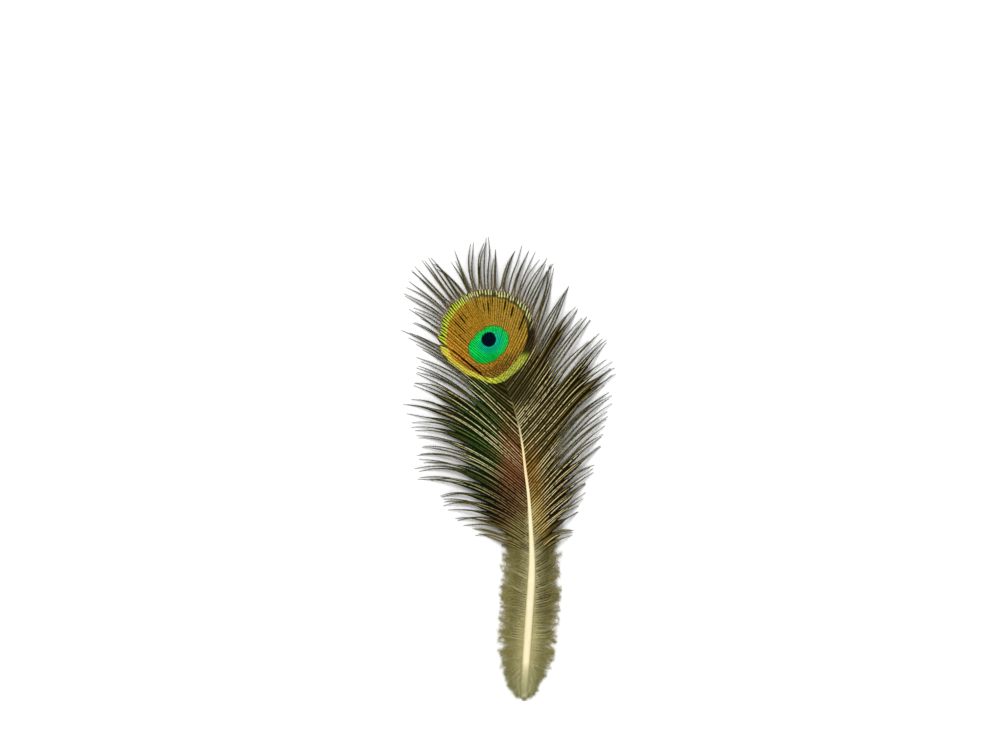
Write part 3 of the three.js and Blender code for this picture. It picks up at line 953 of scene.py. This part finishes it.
def spike_mesh(name, points, facts):
    """One mesh of all the spikes, each with a cell of its own on the OFBake map."""
    count = len(points)
    sides = np.array([[0, 1, 2], [1, 0, 3], [2, 1, 3], [0, 2, 3]])
    faces = (np.arange(count)[:, None, None] * 4 + sides).reshape(-1, 3)
    across = math.ceil(math.sqrt(count))
    cell = stack(np.arange(count) % across, np.arange(count) // across)
    corner = np.array([[0.1, 0.1], [0.9, 0.1], [0.5, 0.3], [0.5, 0.9]])
    chart = (cell[:, None, None] + corner[sides]) / across
    return mesh_piece(name, points, faces.tolist(), facts, chart)


for name, chosen in (("vane_barbules", ~is_eye), ("eye_barbules", is_eye)):
    rows = np.flatnonzero(chosen)
    loose = 1 - knit[rows]
    slimmer = 1 - 0.6 * smooth(0.5, 0.95, barb_t)
    length = (0.3 + 0.5 * loose * slimmer) * smooth(1.02, 0.85, barb_t) + 0.06
    keep = smooth(0.15, 0.5, loose)
    points, path_of, place, side = spikes(
        barbs[rows], length, step=0.16, turn=52, spread=9, base=0.1, rise=0.25, keep=keep
    )
    row_of = rows[path_of]
    corner_share = np.array([0.3, 0.3, 0.3, 1.0])
    long_ways = np.linalg.norm(points[:, 3] - points[:, 0], axis=-1)
    across = side[:, None] * corner_share * 0.8 * long_ways[:, None]
    distance = place[:, None] * distances[row_of, -1][:, None]
    own_number = own_numbers[row_of][:, None]
    facts = {
        "barb": stack(across, distance, own_number),
        "marks": markings(points[..., :2]),
        "state": stack(0, 0.15, np.array([0.4, 0.4, 0.4, 0.55])),
    }
    stand_for_feather(spike_mesh(name, points, facts), vane_material)

# The down: below the vanes the barbs are short, thin, soft and curly, and carry long fine fluff.
# It lies in a loose mat along both sides of the shaft and hangs round the top of the quill.
DOWN_FROM = -71.0
DOWN_PITCH = 0.245
DOWN_LEVELS = 20
DOWN_LENGTH = 9.6
UNDER_VANE, SKIRT = 34, 54  # barbs a side below the lowest vane barbs, and round the quill
down_t = np.linspace(0, 1, DOWN_LEVELS)


def down_rows(side):
    """Where one side's down barbs leave the shaft, which way they turn and their stretch."""
    row = stations(DOWN_FROM, VANE_FROM, DOWN_PITCH)
    y = [row, VANE_FROM + 17 * rng.uniform(0, 1, UNDER_VANE) ** 2]
    y += [rng.uniform(DOWN_FROM + 1, DOWN_FROM + 14, SKIRT)]
    turn = [rng.normal(1, 0.12, len(row))]
    turn += [rng.uniform(0.75, 1.05, UNDER_VANE), rng.uniform(1.05, 1.4, SKIRT)]
    y, turn = np.concatenate(y), np.concatenate(turn)
    table = LEFT_VANE if side > 0 else RIGHT_VANE
    natural = along(BARBS_FROM, table["length"], y)
    stretch = np.minimum(1, DOWN_LENGTH / natural) * rng.uniform(0.7, 1.06, len(y))
    stretch *= 1 - 0.6 * smooth(VANE_FROM, VANE_FROM + 12, y)
    return y, side * np.maximum(turn, 0.7), stretch


fluff = Finish("down fluff")
across, distance, own_number = parts_of(fluff, "barb")
dark_hair, pale_hair, _ = parts_of(fluff, "hair")
_, plan_y = plan_of(fluff)
strand = fluff.node("CombineXYZ", None, {0: across * 2, 1: distance, 2: own_number * 90})
grain = fluff.noise(strand, 1.3, 2.0)
FLUFF, FLUFF_ROOT, FLUFF_DARK = rgb(158, 149, 90), rgb(218, 210, 156), rgb(122, 112, 56)
FLUFF_LIGHT, FLUFF_LOW = rgb(206, 198, 144), rgb(166, 166, 118)
FLUFF_TOP, DARK_HAIR, PALE_HAIR = rgb(104, 94, 46), rgb(52, 44, 14), rgb(222, 214, 166)
colour = fluff.coats(
    FLUFF,
    (FLUFF_ROOT, distance.rise(5.5, 0.5)),
    (FLUFF_DARK, grain.rise(0.55, 0.35) * 0.5),
    (FLUFF_LIGHT, grain.rise(0.55, 0.7) * 0.35),
    (FLUFF_LOW, plan_y.rise(-58, -70) * 0.6),
    (FLUFF_TOP, plan_y.rise(-34, -18) * distance.rise(1, 6) * 0.6),
    (DARK_HAIR, dark_hair),
    (PALE_HAIR, pale_hair),
)
fluff_material = fluff.surface(
    colour, 0.8 + 0.1 * grain, grain, depth=0.00003, Specular_IOR_Level=0.05
)

fluff_points = []
for number, name, side in ((0, "left", 1), (1, "right", -1)):
    down_y, down_side, stretch = down_rows(side)
    count = len(down_y)
    down = barb_paths(down_side, down_y, down_t, stretch)
    pull = 0.15 * smooth(0.3, 0.9, down_t)[None]
    wander = rng.uniform(0.25, 0.6, (count, 1))
    down = wandering(down, down_t, bundles(count, [1, 1, 1, 2]), pull, wander, fray=1.0)
    arch = smooth(0, 0.4, down_t) * smooth(1.1, 0.6, down_t)
    down[..., 2] += rng.uniform(0, 0.8, (count, 1)) * arch
    reach = distances_of(down)
    own = rng.uniform(0, 0.99, count)
    thin = (0.09 - 0.06 * down_t) * np.where(own > 0.9, 1.5, 1)[:, None]
    facts = {"barb": stack(0, reach[..., None], (own + number)[:, None, None])}
    sections = [(thin, -0.03), (0.0, thin), (-thin, -0.03)]
    piece = strip_mesh("down_barbs_" + name, down, sections, facts)
    smooth_piece(piece, 60)
    stand_for_feather(piece, fluff_material)

    length = (2.3 - 0.9 * down_t) * rng.uniform(0.5, 1.3, (count, 1))
    points, path_of, place, spike_side = spikes(
        down, length, step=0.096, turn=44, spread=30, base=0.05, rise=0.3
    )
    barb = stack(
        spike_side[:, None] * np.array([0.1, 0.1, 0.1, 0.6]),
        place[:, None] * reach[path_of, -1][:, None],
        (own + number)[path_of][:, None],
    )
    piece = spike_mesh("down_barbules_" + name, points, {"barb": barb})
    stand_for_feather(piece, fluff_material)
    fluff_points.append(points.reshape(-1, 3))

# Bare hairs lie on the down: dark ones spread from the shaft below the vanes, thickly on the
# right, and a few long pale ones curl over the rest.
HAIR_LEVELS = 16
PALE_HAIRS, QUILL_WISPS = 18, 22
hair_t = np.linspace(0, 1, HAIR_LEVELS)
dark_y = stations(-54, -15, 0.82)
pale_y = rng.uniform(-64, -34, PALE_HAIRS)
wisp_y = rng.uniform(-69.5, -62, QUILL_WISPS)
hair_y = np.concatenate([dark_y, dark_y, pale_y, wisp_y])
hair_side = np.repeat([1.0, -1.0], len(dark_y))
hair_side = np.concatenate([hair_side, np.resize([1.0, -1.0], PALE_HAIRS + QUILL_WISPS)])
is_wisp = np.arange(len(hair_y)) >= len(hair_y) - QUILL_WISPS
is_pale = np.arange(len(hair_y)) >= 2 * len(dark_y)
hair_length = np.where(is_pale, rng.uniform(6.5, 9, len(hair_y)), 6.6 - 1.0 * hair_side)
hair_length *= rng.uniform(0.8, 1.12, len(hair_y)) * np.where(is_wisp, 0.62, 1)
hair_turn = hair_side * np.where(is_wisp, rng.uniform(1.2, 1.5, len(hair_y)), 1)
natural = [along(BARBS_FROM, v["length"], hair_y) for v in (LEFT_VANE, RIGHT_VANE)]
natural = np.where(hair_side > 0, *natural)
hairs = barb_paths(hair_turn, hair_y, hair_t, hair_length / natural)
hairs = curled(hairs, -hair_side, hair_y, hair_t, least=-1.0, most=2.4)
_, width, _, left = shaft_at(hair_y)
hairs += (left * (hair_side * width * 0.46)[:, None])[:, None]
own_bundle = np.arange(len(hair_y))
no_pull = np.zeros((len(hair_y), 1))
hair_wander = np.where(is_pale, 0.5, 0.1)[:, None]
hairs = wandering(hairs, hair_t, own_bundle, no_pull, hair_wander, fray=1.4)

# They rest on the fluff, whose height is read square by square.
SQUARE, MARGIN, MORE_SQUARES = 0.8, 6, 16
HEAP_TOP = 1.7  # how many standard deviations above the mean a square's fluff reaches
HAIR_LIFT, PALE_LIFT = 0.22, 0.2
heap = np.concatenate(fluff_points)
corner = heap[:, :2].min(0) - MARGIN
squares = ((heap[:, :2] - corner) / SQUARE).astype(int)
shape = squares.max(0) + MORE_SQUARES
flat = np.ravel_multi_index(tuple(squares.T), shape)
filled = np.bincount(flat, minlength=shape.prod()).clip(1)
mean = np.bincount(flat, heap[:, 2], shape.prod()) / filled
spread = np.bincount(flat, heap[:, 2] ** 2, shape.prod()) / filled - mean**2
height = mean + HEAP_TOP * np.sqrt(spread.clip(0))
under = ((hairs[..., :2] - corner) / SQUARE).astype(int).clip(0, shape - 1)
rest = height[np.ravel_multi_index(tuple(np.moveaxis(under, -1, 0)), shape)]
rest = np.maximum(rest, TABLE_GAP) + HAIR_LIFT + PALE_LIFT * is_pale[:, None]
on_fluff = smooth(0, 0.15, hair_t)
hairs[..., 2] = hairs[:, :1, 2] * (1 - on_fluff) + rest * on_fluff
for _ in range(4):
    hairs[:, 1:-1, 2] = (hairs[:, :-2, 2] + 2 * hairs[:, 1:-1, 2] + hairs[:, 2:, 2]) / 4
darkness = np.where(is_pale, 0, np.where(hair_side > 0, 0.75, 1.0))
darkness = darkness * rng.uniform(0.6, 1, len(hair_y)) * smooth(-56, -42, hair_y)
fading = smooth(1.15, 0.55, hair_t)
half = np.where(is_pale, 0.07, 0.17)[:, None] * (1 - 0.65 * hair_t)
facts = {
    "barb": stack(0, (hair_t * 7)[:, None], chance(hair_y)[:, None, None]),
    "hair": stack((darkness[:, None] * fading)[..., None], is_pale[:, None, None] * 0.6, 0),
}
piece = strip_mesh("down_hairs", hairs, [(half, -0.03), (0.0, half), (-half, -0.03)], facts)
smooth_piece(piece, 60)
stand_for_feather(piece, fluff_material)

# The camera looks straight down. The table is plain and pale, with soft light from above.
FIELD_WIDTH = 0.325
FIELD_MIDDLE = np.array([-1.6, 31.2, 0])
LENS, SENSOR = 50, 36
camera_data = bpy.data.cameras.new("camera")
camera_data.lens, camera_data.sensor_width = LENS, SENSOR
camera_data.clip_start, camera_data.clip_end = 0.01, 20
camera = bpy.data.objects.new("camera", camera_data)
camera.location = (*to_frame(FIELD_MIDDLE)[:2], FIELD_WIDTH * LENS / SENSOR)
bpy.context.scene.collection.objects.link(camera)
bpy.context.scene.camera = camera

bpy.ops.object.select_all(action="DESELECT")
bpy.ops.mesh.primitive_plane_add(size=6, location=(0, 0, -0.00002))
table = bpy.context.object
table.name = "table"
table_top = bpy.data.materials.new("pale table")
table_top.use_nodes = True
table_sockets = table_top.node_tree.nodes["Principled BSDF"].inputs
table_sockets["Base Color"].default_value = (0.95, 0.95, 0.95, 1)
table_sockets["Roughness"].default_value = 0.8
table.data.materials.append(table_top)

for name, place, size, power in (
    ("key", (-0.9, 1.4, 2.3), 1.1, 61),
    ("fill", (1.6, -1.2, 1.9), 1.6, 20),
):
    light_data = bpy.data.lights.new(name, "AREA")
    light_data.size, light_data.energy = size, power
    light = bpy.data.objects.new(name, light_data)
    light.location = place
    aim = -light.location
    light.rotation_euler = aim.to_track_quat("-Z", "Y").to_euler()
    bpy.context.scene.collection.objects.link(light)

world = bpy.data.worlds.new("studio")
world.use_nodes = True
world.node_tree.nodes["Background"].inputs["Color"].default_value = (1, 1, 1, 1)
world.node_tree.nodes["Background"].inputs["Strength"].default_value = 0.4
bpy.context.scene.world = world
bpy.context.scene.view_settings.view_transform = "Standard"
